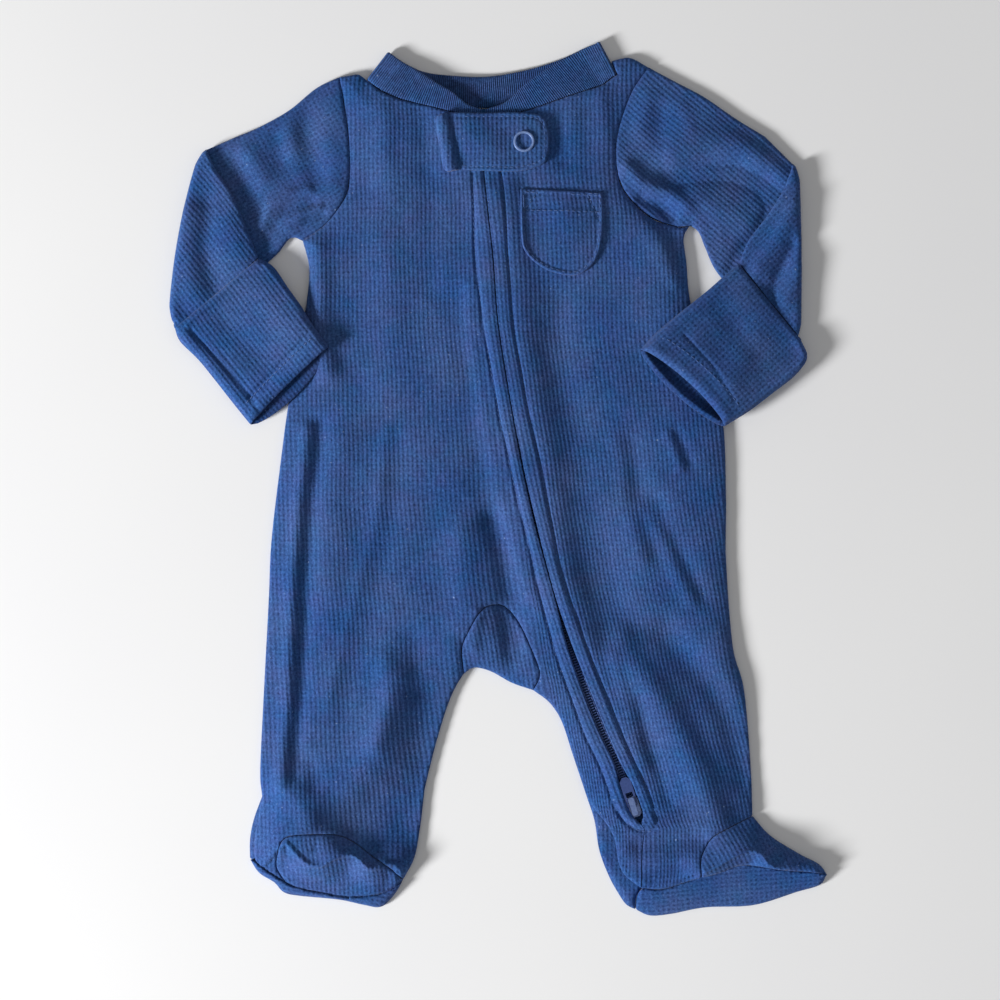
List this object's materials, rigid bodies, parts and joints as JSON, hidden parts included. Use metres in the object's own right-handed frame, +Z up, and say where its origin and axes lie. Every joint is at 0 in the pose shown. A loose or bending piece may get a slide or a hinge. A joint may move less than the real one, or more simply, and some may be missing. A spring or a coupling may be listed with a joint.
{
  "type": "onesie pajama",
  "caption": "Footed infant sleeper in waffle knit, laid flat, with a slanting zip to one ankle, folded cuffs, a snapped neck tab and a chest pocket.",
  "frame": {"origin": "middle of the garment's plan outline, on the surface it lies on", "axes": "+Y towards the neck, +Z up out of the garment's front, -X is the wearer's right"},
  "size_m": [0.349, 0.4637, 0.0126],
  "materials": {
    "waffle": "matt waffle knit, denim blue",
    "rib": "fine rib knit, denim blue",
    "tape": "woven tape, navy",
    "coil": "nylon coil, dark navy",
    "hardware": "enamelled grey-blue",
    "snap": "enamelled blue"
  },
  "bodies": {
    "garment": {"back": "waffle", "front_right": "waffle", "front_left": "waffle", "sleeve_right": "waffle", "sleeve_left": "waffle", "cuff_right": "waffle", "cuff_left": "waffle", "neckband": "rib", "neck_tab": "waffle", "chest_pocket": "waffle", "crotch_gusset": "waffle", "vamp_right": "waffle", "vamp_left": "waffle", "sole_right": "waffle", "sole_left": "waffle", "zip_tape_right": "tape", "zip_tape_left": "tape", "zip_coil": "coil", "slider": "hardware", "snap_ring": "snap"},
    "pull": {"pull_tab": "hardware"}
  },
  "joints": [
    {"name": "pull_hinge", "type": "hinge", "parent": "garment", "child": "pull", "pos_m": [0.07176, -0.17378, 0.00583], "axis": [0.9537, 0.3007, 0], "range_deg": [0, 150]}
  ]
}
